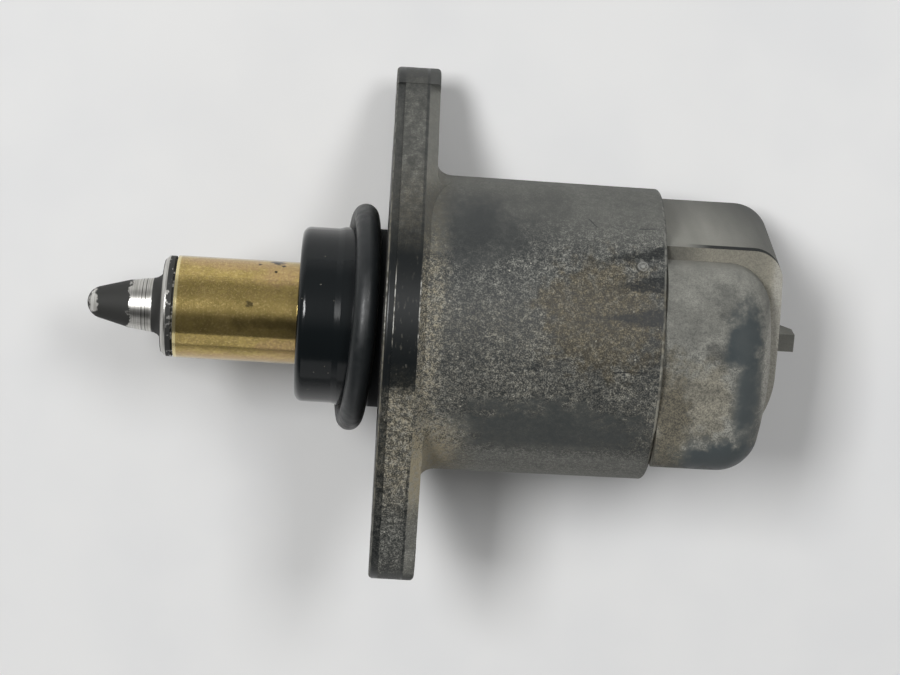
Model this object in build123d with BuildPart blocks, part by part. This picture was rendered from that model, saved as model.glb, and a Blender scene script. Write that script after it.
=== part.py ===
"""Idle air control valve: a stepper motor drives a brass plunger with a steel pintle.

Sizes are in millimetres and degrees. X runs along the valve axis, with the pintle at -X and
the connector at +X. X = 0 is the mounting face of the flange. The connector opens towards -Z.
"""

import os
from math import acos, cos, hypot, radians, sin, tan

from build123d import *

# Clearances
FIT_GAP = 0.02
RUN_GAP = 0.04
FREE_GAP = 0.1

# Flange
FLANGE_THICK = 4.9
FLANGE_CORE_R = 16.9
BOLT_PCD = 45.4
BOLT_LINE_TURN = 25.0
LOBE_R = 5.8
LOBE_STAND = 0.06
STEP_LENGTH = 1.0
STEP_DEPTH = 0.2
EDGE_ROUND = 0.45
FLANGE_BEVEL = 1.2
BUSH_R = 3.9
BOLT_HOLE_R = 2.75

# Spigot that enters the throttle body
SPIGOT_LENGTH = 9.24
PILOT_R = 9.6
SEAT_R = 9.78
SEAT_LENGTH = 4.6
SPIGOT_ROUND = 0.9
RELIEF_R = 13.2
RELIEF_DEPTH = 0.5
O_RING_SECTION = 2.65
O_RING_X = -2.86
O_RING_TILT = 2.7
O_RING_LEAN = 4.0

# Motor barrel
BARREL_R = 16.2
BARREL_DRAFT = 0.2
BARREL_WALL = 1.75
RIM_X = 29.4
RIM_ROUND = 0.45
LIP_THICK = 0.4
LIP_DEPTH = 0.5
BASE_FILLET = 1.5
FRONT_WALL = 3.2
RIB_COUNT = 6
RIB_THICK = 1.2
GATE_MARK_R = 0.6
GATE_MARK_RISE = 0.15
GATE_MARK_INSET = 2.65
GATE_MARK_TURN = 41.0

# Plunger and pintle
PLUNGER_R = 5.6
PLUNGER_FRONT_X = -22.66
PLUNGER_REAR_X = 1.8
NUT_LENGTH = 6.6
KEY_WIDTH = 3.0
KEY_REACH = 1.6
KEY_LENGTH = 2.2
TRAVEL_OUT = 2.5
TRAVEL_IN = 6.0
STEM_R = 2.2
STEM_LENGTH = 4.6
DISC_R = 5.53
DISC_THICK = 1.16
DISC_BEVEL = 0.45
TIP_R = 1.7
TIP_LENGTH = 1.21
TIP_CONE_LENGTH = 3.4
TIP_CONE_R = 2.62
SHANK_LENGTH = 2.42
SHANK_R = 2.97
PINTLE_FILLET = 1.32
NECK_LENGTH = 0.25
NECK_DEPTH = 0.33

# Screw, rotor and bearings
SCREW_R = 2.5
SCREW_TIP_X = -11.0
CLIP_R = 3.6
CLIP_THICK = 0.7
BEARING_R = 6.5
BEARING_WIDTH = 4.0
BALL_R = 1.0
BALL_COUNT = 7
HUB_WALL = 2.5
HUB_R = 4.6
MAGNET_R = 6.7
AIR_GAP = 0.3
JOURNAL_R = 1.5
BUSH_LENGTH = 2.9
REAR_BUSH_R = 3.0
WASHER_THICK = 0.5

# Claw-pole stator
PLATE_THICK = 0.8
CLAW_COUNT = 6
CLAW_ROOT = 2.4
CLAW_TIP = 1.5
BOBBIN_WALL = 0.6
WINDING_SPACE = 0.5

# Rear cover with its right-angle connector
DISC_PLATE = 2.0
SEAL_SECTION = 0.96
HEAD_LENGTH = 13.9
HEAD_LEFT = 13.15
HEAD_RIGHT = -12.6
HEAD_TOP = 8.8
HEAD_BOTTOM = -10.1
HEAD_CORNER_LEFT = 4.2
HEAD_CORNER_RIGHT = 11.0
HEAD_BOW = 0.5
HEAD_DRAFT = 3.0
BACK_LENGTH = 11.85
BACK_LEFT = 10.7
BACK_RIGHT = -11.6
BACK_TOP = 14.6
BACK_CORNER = 4.5
BACK_BOW = 1.4
BACK_ROUND = 3.9
MOUTH_Z = -16.9
MOUTH_HALF_WIDTH = 10.0
MOUTH_FRONT = 1.6
MOUTH_REAR = 12.0
MOUTH_CORNER = 3.4
MOUTH_WALL = 1.2
SOCKET_DEPTH = 9.9
TAB_WIDTH = 1.95
TAB_REACH = 2.15
TAB_TOP = 0.5
TAB_RAMP = 5.6
TAB_NOSE = 2.4
TAB_ROUND = 0.5
PIN_PITCH = 4.5
PIN_WIDTH = 1.6
PIN_THICK = 0.8
PIN_LENGTH = 5.3
PIN_LEG_Z = -5.0
PIN_POINT = 0.7

# Sizes that follow from the ones above
BORE_R = BARREL_R - BARREL_WALL
GUIDE_R = PLUNGER_R + RUN_GAP
KEY_R = PLUNGER_R + KEY_REACH
BEARING_X = PLUNGER_REAR_X + TRAVEL_IN + 2 * FREE_GAP
BEARING_END_X = BEARING_X + BEARING_WIDTH
HOUSING_HUB_R = BEARING_R + HUB_WALL
CLIP_X = BEARING_X - FREE_GAP - CLIP_THICK
COVER_X = RIM_X - LIP_THICK - DISC_PLATE
STACK_X = BEARING_END_X
STACK_END_X = COVER_X - FREE_GAP
STACK_MID_X = (STACK_X + STACK_END_X) / 2
CLAW_R = MAGNET_R + AIR_GAP
BOBBIN_R = hypot(CLAW_R + PLATE_THICK, CLAW_ROOT / 2) + FIT_GAP
CAN_R = BORE_R - 2 * FIT_GAP
CAN_INNER_R = CAN_R - PLATE_THICK
ROTOR_END_X = COVER_X - WASHER_THICK - FREE_GAP
PINTLE_FACE_X = PLUNGER_FRONT_X - FIT_GAP - NECK_LENGTH - DISC_THICK
PINTLE_SHANK_X = PINTLE_FACE_X - PINTLE_FILLET
PINTLE_CONE_X = PINTLE_SHANK_X - SHANK_LENGTH
PINTLE_TIP_X = PINTLE_CONE_X - TIP_CONE_LENGTH - TIP_LENGTH
HEAD_X = RIM_X + HEAD_LENGTH
BACK_X = RIM_X + BACK_LENGTH
MOUTH_FRONT_X = RIM_X + MOUTH_FRONT
MOUTH_REAR_X = RIM_X + MOUTH_REAR
SOCKET_FLOOR_Z = MOUTH_Z + SOCKET_DEPTH
PIN_X = (MOUTH_FRONT_X + MOUTH_REAR_X) / 2


def profile(*points):
    """Closed outline of a turned piece, as (x, radius) points."""
    with BuildSketch(Plane.XY) as drawn:
        with BuildLine():
            Polyline(*points, close=True)
        make_face()
    return drawn.sketch


def ring(x_start, x_end, inner_r, outer_r):
    """Rectangular section of a ring around the valve axis."""
    return profile(
        (x_start, inner_r), (x_end, inner_r), (x_end, outer_r), (x_start, outer_r)
    )


def around_axis(x=0.0):
    """Frame on the valve axis whose own Z points along +X."""
    return Plane(origin=(x, 0, 0), x_dir=(0, 0, 1), z_dir=(1, 0, 0))


def flange_plane(x):
    """Plane across the valve axis whose own X runs along the bolt line."""
    turn = radians(BOLT_LINE_TURN)
    return Plane(origin=(x, 0, 0), x_dir=(0, cos(turn), -sin(turn)), z_dir=(1, 0, 0))


def flange_slope():
    """Angle between the bolt line and the outward normal of a flange flank."""
    return acos((FLANGE_CORE_R - LOBE_R + LOBE_STAND) / (BOLT_PCD / 2))


def flange_outline(inset, x=0.0):
    """Core and lobe arcs joined by tangent flanks, drawn in by an even amount."""
    core_r = FLANGE_CORE_R - inset
    lobe_r = LOBE_R - LOBE_STAND - inset
    reach = BOLT_PCD / 2
    slope = flange_slope()
    core_x, core_y = core_r * cos(slope), core_r * sin(slope)
    lobe_x, lobe_y = reach + lobe_r * cos(slope), lobe_r * sin(slope)
    with BuildSketch(flange_plane(x)) as drawn:
        with BuildLine():
            Line((core_x, core_y), (lobe_x, lobe_y))
            ThreePointArc((lobe_x, lobe_y), (reach + lobe_r, 0), (lobe_x, -lobe_y))
            Line((lobe_x, -lobe_y), (core_x, -core_y))
            ThreePointArc((core_x, -core_y), (0, -core_r), (-core_x, -core_y))
            Line((-core_x, -core_y), (-lobe_x, -lobe_y))
            ThreePointArc((-lobe_x, -lobe_y), (-reach - lobe_r, 0), (-lobe_x, lobe_y))
            Line((-lobe_x, lobe_y), (-core_x, core_y))
            ThreePointArc((-core_x, core_y), (0, core_r), (core_x, core_y))
        make_face()
    return drawn.sketch


def lobe_sector(side, x=0.0):
    """Rounded end of one lobe between its two flanks, side 1 or -1 along the bolt line."""
    slope = flange_slope()
    centre_x = side * BOLT_PCD / 2
    edge_x = centre_x + side * LOBE_R * cos(slope)
    edge_y = LOBE_R * sin(slope)
    with BuildSketch(flange_plane(x)) as drawn:
        with BuildLine():
            Line((centre_x, 0), (edge_x, edge_y))
            ThreePointArc((edge_x, edge_y), (centre_x + side * LOBE_R, 0), (edge_x, -edge_y))
            Line((edge_x, -edge_y), (centre_x, 0))
        make_face()
    return drawn.sketch


def bolt_circles(radius, x=0.0):
    """Two circles on the bolt line of the flange."""
    with BuildSketch(flange_plane(x)) as drawn:
        with Locations((BOLT_PCD / 2, 0), (-BOLT_PCD / 2, 0)):
            Circle(radius)
    return drawn.sketch


def rounded_block(x_start, x_end, y_low, y_high, z_low, z_high, low_corner, high_corner, bow, draft=0):
    """Upright block with rounded rear corners and a bowed rear wall, narrower at its top."""
    x_front = x_start - (z_high - z_low) * tan(radians(draft))
    with BuildPart() as block:
        with BuildSketch(Plane.XY.offset(z_low)) as base:
            with BuildLine():
                rear_low = (x_end - bow, y_low)
                rear_high = (x_end - bow, y_high)
                Polyline(rear_high, (x_front, y_high), (x_front, y_low), rear_low)
                ThreePointArc(rear_low, (x_end, (y_low + y_high) / 2), rear_high)
            make_face()
            fillet(base.vertices().group_by(Axis.Y)[0].sort_by(Axis.X)[-1], radius=low_corner)
            fillet(base.vertices().group_by(Axis.Y)[-1].sort_by(Axis.X)[-1], radius=high_corner)
        extrude(amount=z_high - z_low, taper=draft)
        split(bisect_by=Plane.YZ.offset(x_start), keep=Keep.TOP)
    return block.part


def claw(length):
    """One tapered pole claw along +Z, its inner face at the pole radius."""
    face = Plane(origin=(CLAW_R, 0, 0), x_dir=(0, 1, 0), z_dir=(1, 0, 0))
    with BuildPart() as tooth:
        with BuildSketch(face):
            with BuildLine():
                Polyline(
                    (-CLAW_ROOT / 2, 0),
                    (CLAW_ROOT / 2, 0),
                    (CLAW_TIP / 2, length),
                    (-CLAW_TIP / 2, length),
                    close=True,
                )
            make_face()
        extrude(amount=PLATE_THICK)
    return tooth.part


def claw_plate(x_root, x_plate, outer_r, turn, facing):
    """Pole plate with its ring of claws, facing 1 for +X or -1 for -X."""
    length = STACK_MID_X - STACK_X - PLATE_THICK - FREE_GAP - 2 * FIT_GAP
    base = Plane(origin=(x_root, 0, 0), x_dir=(0, 0, 1), z_dir=(facing, 0, 0))
    with BuildPart() as plate:
        revolve(ring(min(x_root, x_plate), max(x_root, x_plate), CLAW_R, outer_r), axis=Axis.X)
        with Locations(base):
            with PolarLocations(0, CLAW_COUNT, start_angle=turn):
                add(claw(length))
    return plate.part


def bobbin_profile(x_start, x_end):
    """Section of a coil former with a flange at either end."""
    inner_r = BOBBIN_R
    tube_r = inner_r + BOBBIN_WALL
    flange_r = CAN_INNER_R - FREE_GAP
    return profile(
        (x_start, inner_r),
        (x_end, inner_r),
        (x_end, flange_r),
        (x_end - BOBBIN_WALL, flange_r),
        (x_end - BOBBIN_WALL, tube_r),
        (x_start + BOBBIN_WALL, tube_r),
        (x_start + BOBBIN_WALL, flange_r),
        (x_start, flange_r),
    )


def coil_profile(x_start, x_end):
    """Section of the winding inside a coil former."""
    inner_r = BOBBIN_R + BOBBIN_WALL + FIT_GAP
    return ring(
        x_start + BOBBIN_WALL + FIT_GAP,
        x_end - BOBBIN_WALL - FIT_GAP,
        inner_r,
        CAN_INNER_R - FREE_GAP - WINDING_SPACE,
    )


def terminal(y):
    """Right-angle blade: a leg towards the motor and a pin in the socket."""
    leg_top = PIN_LEG_Z + PIN_THICK / 2
    leg_low = PIN_LEG_Z - PIN_THICK / 2
    pin_tip = SOCKET_FLOOR_Z - PIN_LENGTH
    leg_end = COVER_X + WASHER_THICK
    with BuildPart() as blade:
        with BuildSketch(Plane.XZ.offset(-y)):
            with BuildLine():
                Polyline(
                    (leg_end, leg_top),
                    (PIN_X + PIN_THICK / 2, leg_top),
                    (PIN_X + PIN_THICK / 2, pin_tip + PIN_POINT),
                    (PIN_X + PIN_THICK / 5, pin_tip),
                    (PIN_X - PIN_THICK / 5, pin_tip),
                    (PIN_X - PIN_THICK / 2, pin_tip + PIN_POINT),
                    (PIN_X - PIN_THICK / 2, leg_low),
                    (leg_end, leg_low),
                    close=True,
                )
            make_face()
        extrude(amount=PIN_WIDTH / 2, both=True)
    return blade.part


# Housing: flange, spigot and motor barrel moulded in one piece
flange_body = FLANGE_THICK - STEP_LENGTH
with BuildPart() as flange_lip:
    extrude(flange_outline(STEP_DEPTH), amount=STEP_LENGTH)
    fillet(flange_lip.faces().sort_by(Axis.X)[0].edges(), radius=EDGE_ROUND)

with BuildPart() as flange_web:
    extrude(flange_outline(0, STEP_LENGTH), amount=flange_body)
    chamfer(flange_web.faces().sort_by(Axis.X)[-1].edges(), length=FLANGE_BEVEL)

with BuildPart() as flange_lobes:
    for side in (1, -1):
        extrude(lobe_sector(side), amount=FLANGE_THICK)
    fillet(flange_lobes.edges().filter_by(GeomType.CIRCLE), radius=EDGE_ROUND)

with BuildPart() as fillet_limit:
    extrude(flange_outline(0, STEP_LENGTH), amount=flange_body + BASE_FILLET)
    chamfer(
        fillet_limit.faces().sort_by(Axis.X)[-1].edges(),
        length=FLANGE_BEVEL + BASE_FILLET + 2 * FIT_GAP,
    )

with BuildPart() as base_fillet:
    with BuildSketch(Plane.XY):
        with BuildLine():
            fillet_end = (FLANGE_THICK + BASE_FILLET, BARREL_R)
            fillet_start = (FLANGE_THICK, BARREL_R + BASE_FILLET)
            Polyline(
                fillet_end,
                (FLANGE_THICK + BASE_FILLET, BORE_R),
                (FLANGE_THICK - 1, BORE_R),
                (FLANGE_THICK - 1, BARREL_R + BASE_FILLET),
                fillet_start,
            )
            TangentArc(fillet_start, fillet_end, tangent=(0, -1))
        make_face()
    revolve(axis=Axis.X)
    add(fillet_limit.part, mode=Mode.INTERSECT)

with BuildPart() as housing:
    add(flange_lip.part)
    add(flange_web.part)
    add(flange_lobes.part)
    add(base_fillet.part)
    # Tapered barrel
    with BuildSketch(Plane.XY):
        with BuildLine():
            rim_r = BARREL_R - BARREL_DRAFT
            round_start = (RIM_X - RIM_ROUND, rim_r)
            round_end = (RIM_X, rim_r - RIM_ROUND)
            Polyline(round_end, (RIM_X, 0), (1, 0), (1, BARREL_R), round_start)
            TangentArc(round_start, round_end, tangent=(1, 0))
        make_face()
    revolve(axis=Axis.X)
    # Moulding gate mark near the rim
    gate_turn = radians(GATE_MARK_TURN)
    gate_face = Plane(
        origin=(RIM_X - GATE_MARK_INSET, 0, 0), z_dir=(0, sin(gate_turn), cos(gate_turn))
    )
    with BuildSketch(gate_face):
        Circle(GATE_MARK_R)
    extrude(amount=BARREL_R - BARREL_DRAFT + GATE_MARK_RISE)
    # Relief around the spigot for the seal
    revolve(ring(-1, RELIEF_DEPTH, 0, RELIEF_R), axis=Axis.X, mode=Mode.SUBTRACT)
    # Spigot: pilot, short taper and seal seat
    with BuildSketch(Plane.XY):
        with BuildLine():
            nose_start = (-SPIGOT_LENGTH, PILOT_R - SPIGOT_ROUND)
            nose_end = (-SPIGOT_LENGTH + SPIGOT_ROUND, PILOT_R)
            Polyline(
                nose_end,
                (-SEAT_LENGTH - O_RING_SECTION / 4, PILOT_R),
                (-SEAT_LENGTH, SEAT_R),
                (1, SEAT_R),
                (1, 0),
                (-SPIGOT_LENGTH, 0),
                nose_start,
            )
            TangentArc(nose_start, nose_end, tangent=(0, 1))
        make_face()
    revolve(axis=Axis.X)
    # Motor space, left open behind and closed down to a lip
    revolve(ring(FRONT_WALL, RIM_X - LIP_THICK, 0, BORE_R), axis=Axis.X, mode=Mode.SUBTRACT)
    revolve(ring(FRONT_WALL, RIM_X + 1, 0, BORE_R - LIP_DEPTH), axis=Axis.X, mode=Mode.SUBTRACT)
    # Hub that carries the front bearing, with ribs out to the wall
    revolve(ring(FRONT_WALL - 1, BEARING_END_X - FIT_GAP, 0, HOUSING_HUB_R), axis=Axis.X)
    rib_length = BEARING_END_X - FRONT_WALL
    rib_mid_r = (HOUSING_HUB_R + BORE_R) / 2
    with Locations(around_axis(FRONT_WALL + rib_length / 2 - FIT_GAP)):
        with PolarLocations(rib_mid_r, RIB_COUNT):
            Box(BORE_R - HOUSING_HUB_R + 1, RIB_THICK, rib_length)
    # Plunger guide, keyways and bearing pocket
    revolve(ring(-SPIGOT_LENGTH - 1, BEARING_X + 1, 0, GUIDE_R), axis=Axis.X, mode=Mode.SUBTRACT)
    keyway_start = PLUNGER_REAR_X - KEY_LENGTH - TRAVEL_OUT - 2 * FREE_GAP
    keyway_length = BEARING_X + 1 - keyway_start
    with Locations((keyway_start + keyway_length / 2, 0, 0)):
        Box(
            keyway_length,
            KEY_WIDTH + 2 * FREE_GAP,
            2 * KEY_R + 2 * FREE_GAP,
            mode=Mode.SUBTRACT,
        )
    revolve(
        ring(BEARING_X - FIT_GAP, BEARING_END_X + 1, 0, BEARING_R + FIT_GAP),
        axis=Axis.X,
        mode=Mode.SUBTRACT,
    )
    # Bolt holes
    extrude(bolt_circles(BUSH_R + FIT_GAP), amount=FLANGE_THICK + 1, mode=Mode.SUBTRACT)

with BuildPart() as flange_bushes:
    extrude(bolt_circles(BUSH_R), amount=FLANGE_THICK)
    extrude(bolt_circles(BOLT_HOLE_R), amount=FLANGE_THICK, mode=Mode.SUBTRACT)

with BuildPart() as spigot_seal:
    seal_axis = Vector(1, -tan(radians(O_RING_TILT)), -tan(radians(O_RING_LEAN)))
    seal_r = (SEAT_R + FIT_GAP + O_RING_SECTION / 2) * seal_axis.length
    with Locations(Plane(origin=(O_RING_X, 0, 0), z_dir=seal_axis)):
        Torus(seal_r, O_RING_SECTION / 2)

# Moving plunger with the nut at its rear end
with BuildPart() as plunger:
    revolve(ring(PLUNGER_FRONT_X, PLUNGER_REAR_X, 0, PLUNGER_R), axis=Axis.X)
    with Locations((PLUNGER_REAR_X - KEY_LENGTH / 2, 0, 0)):
        Box(KEY_LENGTH, KEY_WIDTH, 2 * KEY_R)
    clip_space_x = PLUNGER_REAR_X - CLIP_THICK - 5 * FREE_GAP
    stem_end_x = PLUNGER_FRONT_X + STEM_LENGTH + FREE_GAP
    revolve(
        ring(clip_space_x, PLUNGER_REAR_X, 0, CLIP_R + 5 * FREE_GAP),
        axis=Axis.X,
        mode=Mode.SUBTRACT,
    )
    revolve(
        ring(stem_end_x, PLUNGER_REAR_X, 0, SCREW_R + RUN_GAP), axis=Axis.X, mode=Mode.SUBTRACT
    )
    revolve(
        ring(stem_end_x, clip_space_x - NUT_LENGTH, 0, SCREW_R + 4 * FREE_GAP),
        axis=Axis.X,
        mode=Mode.SUBTRACT,
    )
    revolve(
        ring(PLUNGER_FRONT_X, stem_end_x, 0, STEM_R + FIT_GAP), axis=Axis.X, mode=Mode.SUBTRACT
    )

# Pintle: rounded tip, two cones, a fillet and the disc
with BuildPart() as pintle:
    with BuildSketch(Plane.XY):
        with BuildLine():
            tip = (PINTLE_TIP_X, 0)
            tip_edge = (PINTLE_TIP_X + TIP_LENGTH, TIP_R)
            shank_end = (PINTLE_SHANK_X, SHANK_R)
            face_start = (PINTLE_FACE_X, SHANK_R + PINTLE_FILLET)
            disc_end_x = PINTLE_FACE_X + DISC_THICK
            seat_x = PLUNGER_FRONT_X - FIT_GAP
            TangentArc(tip, tip_edge, tangent=(0, 1))
            Polyline(tip_edge, (PINTLE_CONE_X, TIP_CONE_R), shank_end)
            TangentArc(shank_end, face_start, tangent=(1, 0))
            Polyline(
                face_start,
                (PINTLE_FACE_X, DISC_R - DISC_BEVEL),
                (PINTLE_FACE_X + DISC_BEVEL, DISC_R),
                (disc_end_x, DISC_R),
                (disc_end_x, DISC_R - NECK_DEPTH),
                (seat_x, DISC_R - NECK_DEPTH),
                (seat_x, STEM_R),
                (PLUNGER_FRONT_X + STEM_LENGTH, STEM_R),
                (PLUNGER_FRONT_X + STEM_LENGTH, 0),
                tip,
            )
        make_face()
    revolve(axis=Axis.X)

# Screw: nose in the nut, clip groove, bearing seat, rotor core and rear journal
with BuildPart() as lead_screw:
    revolve(ring(SCREW_TIP_X, ROTOR_END_X, 0, SCREW_R), axis=Axis.X)
    chamfer(lead_screw.edges().sort_by(Axis.X)[0], length=5 * FREE_GAP)
    revolve(
        ring(ROTOR_END_X, COVER_X + BUSH_LENGTH - 6 * FREE_GAP, 0, JOURNAL_R), axis=Axis.X
    )
    revolve(
        ring(CLIP_X - FIT_GAP, CLIP_X + CLIP_THICK + FIT_GAP, SCREW_R - 2 * FREE_GAP, SCREW_R + 1),
        axis=Axis.X,
        mode=Mode.SUBTRACT,
    )

with BuildPart() as screw_clip:
    revolve(
        ring(CLIP_X, CLIP_X + CLIP_THICK, SCREW_R - 2 * FREE_GAP + FIT_GAP, CLIP_R), axis=Axis.X
    )

# Front ball bearing
ball_pitch_r = (SCREW_R + BEARING_R) / 2
ball_x = BEARING_X + BEARING_WIDTH / 2
land_reach = 0.75 * BALL_R
track_r = BALL_R + FIT_GAP

with BuildPart() as bearing_inner_race:
    revolve(
        ring(BEARING_X, BEARING_END_X, SCREW_R + FIT_GAP, ball_pitch_r - land_reach), axis=Axis.X
    )
    with Locations(around_axis(ball_x)):
        Torus(ball_pitch_r, track_r, mode=Mode.SUBTRACT)

with BuildPart() as bearing_outer_race:
    revolve(ring(BEARING_X, BEARING_END_X, ball_pitch_r + land_reach, BEARING_R), axis=Axis.X)
    with Locations(around_axis(ball_x)):
        Torus(ball_pitch_r, track_r, mode=Mode.SUBTRACT)

with BuildPart() as bearing_balls:
    with Locations(around_axis(ball_x)):
        with PolarLocations(ball_pitch_r, BALL_COUNT):
            Sphere(BALL_R)

with BuildPart() as bearing_cage:
    cage_half = 1.4 * BALL_R
    cage_reach = 0.5 * BALL_R
    revolve(
        ring(
            ball_x - cage_half, ball_x + cage_half, ball_pitch_r - cage_reach, ball_pitch_r + cage_reach
        ),
        axis=Axis.X,
    )
    with Locations(around_axis(ball_x)):
        with PolarLocations(ball_pitch_r, BALL_COUNT):
            Cylinder(
                BALL_R + 3 * FIT_GAP, 4 * cage_reach, rotation=(0, 90, 0), mode=Mode.SUBTRACT
            )

# Rotor hub with its ring magnet
with BuildPart() as rotor_hub:
    hub_step_x = BEARING_END_X + PLATE_THICK + FREE_GAP
    revolve(
        ring(BEARING_END_X + FIT_GAP, ROTOR_END_X, SCREW_R + FIT_GAP, ball_pitch_r - land_reach),
        axis=Axis.X,
    )
    revolve(ring(hub_step_x, ROTOR_END_X, SCREW_R + FIT_GAP, HUB_R), axis=Axis.X)

with BuildPart() as rotor_magnet:
    revolve(ring(hub_step_x, ROTOR_END_X, HUB_R + FIT_GAP, MAGNET_R), axis=Axis.X)

with BuildPart() as thrust_washer:
    revolve(
        ring(
            ROTOR_END_X + FIT_GAP,
            ROTOR_END_X + FIT_GAP + WASHER_THICK,
            JOURNAL_R + RUN_GAP,
            REAR_BUSH_R - FREE_GAP,
        ),
        axis=Axis.X,
    )

with BuildPart() as rear_bush:
    revolve(
        ring(COVER_X, COVER_X + BUSH_LENGTH, JOURNAL_R + RUN_GAP, REAR_BUSH_R), axis=Axis.X
    )

# Two-phase claw-pole stator; the rear half is turned by half a pole
pole_turn = 180 / CLAW_COUNT
with BuildPart() as front_stator_cup:
    add(claw_plate(STACK_X, STACK_X + PLATE_THICK, CAN_R, 0, 1))
    revolve(ring(STACK_X, STACK_MID_X - FIT_GAP, CAN_INNER_R, CAN_R), axis=Axis.X)

with BuildPart() as front_pole_plate:
    mid_face = STACK_MID_X - FIT_GAP
    plate_edge_r = CAN_INNER_R - FIT_GAP
    add(claw_plate(mid_face, mid_face - PLATE_THICK, plate_edge_r, pole_turn, -1))

with BuildPart() as front_bobbin:
    front_start = STACK_X + PLATE_THICK + FIT_GAP
    front_end = STACK_MID_X - PLATE_THICK - 2 * FIT_GAP
    revolve(bobbin_profile(front_start, front_end), axis=Axis.X)

with BuildPart() as front_coil:
    revolve(coil_profile(front_start, front_end), axis=Axis.X)

with BuildPart() as rear_pole_plate:
    mid_face = STACK_MID_X + FIT_GAP
    add(claw_plate(mid_face, mid_face + PLATE_THICK, plate_edge_r, pole_turn / 2, 1))

with BuildPart() as rear_bobbin:
    rear_start = STACK_MID_X + PLATE_THICK + 2 * FIT_GAP
    rear_end = STACK_END_X - PLATE_THICK - FIT_GAP
    revolve(bobbin_profile(rear_start, rear_end), axis=Axis.X)

with BuildPart() as rear_coil:
    revolve(coil_profile(rear_start, rear_end), axis=Axis.X)

with BuildPart() as rear_stator_cup:
    add(claw_plate(STACK_END_X, STACK_END_X - PLATE_THICK, CAN_R, pole_turn / 2, -1))
    revolve(ring(STACK_MID_X + FIT_GAP, STACK_END_X, CAN_INNER_R, CAN_R), axis=Axis.X)

# Connector blades
pin_places = [PIN_PITCH * step for step in (-1.5, -0.5, 0.5, 1.5)]
terminals = [terminal(y) for y in pin_places]

# Rear cover: plate inside the rim, connector head, raised back, mouth and lock tab
head_start_x = RIM_X + FIT_GAP
plug_end_x = head_start_x + FREE_GAP
seal_x = COVER_X + DISC_PLATE / 2
with BuildPart() as back_block:
    add(
        rounded_block(
            head_start_x,
            BACK_X,
            BACK_RIGHT,
            BACK_LEFT,
            HEAD_TOP - 1,
            BACK_TOP,
            BACK_CORNER,
            BACK_CORNER,
            BACK_BOW,
        )
    )
    fillet(
        back_block.faces().sort_by(Axis.Z)[-1].edges().sort_by(Axis.X)[1:], radius=BACK_ROUND
    )

with BuildPart() as rear_cover:
    revolve(ring(COVER_X, RIM_X - LIP_THICK - FIT_GAP, 0, CAN_R), axis=Axis.X)
    revolve(ring(COVER_X, plug_end_x, 0, BORE_R - LIP_DEPTH - FIT_GAP), axis=Axis.X)
    add(
        rounded_block(
            head_start_x,
            HEAD_X,
            HEAD_RIGHT,
            HEAD_LEFT,
            HEAD_BOTTOM,
            HEAD_TOP,
            HEAD_CORNER_RIGHT,
            HEAD_CORNER_LEFT,
            HEAD_BOW,
            HEAD_DRAFT,
        )
    )
    add(back_block.part)
    # Mouth and socket
    with BuildSketch(Plane.XY.offset(MOUTH_Z)) as mouth:
        with Locations((PIN_X, 0)):
            RectangleRounded(MOUTH_REAR_X - MOUTH_FRONT_X, 2 * MOUTH_HALF_WIDTH, MOUTH_CORNER)
    extrude(amount=HEAD_BOTTOM + 1 - MOUTH_Z)
    with BuildSketch(Plane.XY.offset(MOUTH_Z)) as socket:
        with Locations((PIN_X, 0)):
            RectangleRounded(
                MOUTH_REAR_X - MOUTH_FRONT_X - 2 * MOUTH_WALL,
                2 * MOUTH_HALF_WIDTH - 2 * MOUTH_WALL,
                MOUTH_CORNER - MOUTH_WALL,
            )
    extrude(amount=SOCKET_DEPTH, mode=Mode.SUBTRACT)
    # Ramped lock tab on the rear wall
    with BuildSketch(Plane.XZ) as tab:
        with BuildLine():
            Polyline(
                (HEAD_X - 1, TAB_TOP),
                (HEAD_X + TAB_REACH, TAB_TOP),
                (HEAD_X + TAB_REACH, TAB_TOP - TAB_NOSE),
                (HEAD_X, TAB_TOP - TAB_RAMP),
                (HEAD_X - 1, TAB_TOP - TAB_RAMP),
                close=True,
            )
        make_face()
        fillet(tab.vertices().group_by(Axis.X)[-1].sort_by(Axis.Y)[0], radius=TAB_ROUND)
    extrude(amount=TAB_WIDTH / 2, both=True)
    # Seal groove, bush pocket, lead pocket and terminal slots
    revolve(
        ring(
            seal_x - SEAL_SECTION / 2 - FIT_GAP,
            seal_x + SEAL_SECTION / 2 + FIT_GAP,
            BORE_R - SEAL_SECTION - 2 * FIT_GAP,
            BORE_R + 1,
        ),
        axis=Axis.X,
        mode=Mode.SUBTRACT,
    )
    revolve(
        ring(COVER_X - 1, COVER_X + BUSH_LENGTH + FREE_GAP, 0, REAR_BUSH_R + FIT_GAP),
        axis=Axis.X,
        mode=Mode.SUBTRACT,
    )
    with Locations((COVER_X, 0, PIN_LEG_Z)):
        Box(
            DISC_PLATE,
            3 * PIN_PITCH + 2 * PIN_WIDTH,
            2 * PIN_THICK + 2 * FREE_GAP,
            mode=Mode.SUBTRACT,
        )
    for blade in terminals:
        add(blade, mode=Mode.SUBTRACT)

with BuildPart() as cover_seal:
    revolve(
        ring(
            seal_x - SEAL_SECTION / 2,
            seal_x + SEAL_SECTION / 2,
            BORE_R - SEAL_SECTION - FIT_GAP,
            BORE_R - FIT_GAP,
        ),
        axis=Axis.X,
    )

os.makedirs("parts", exist_ok=True)

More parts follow.
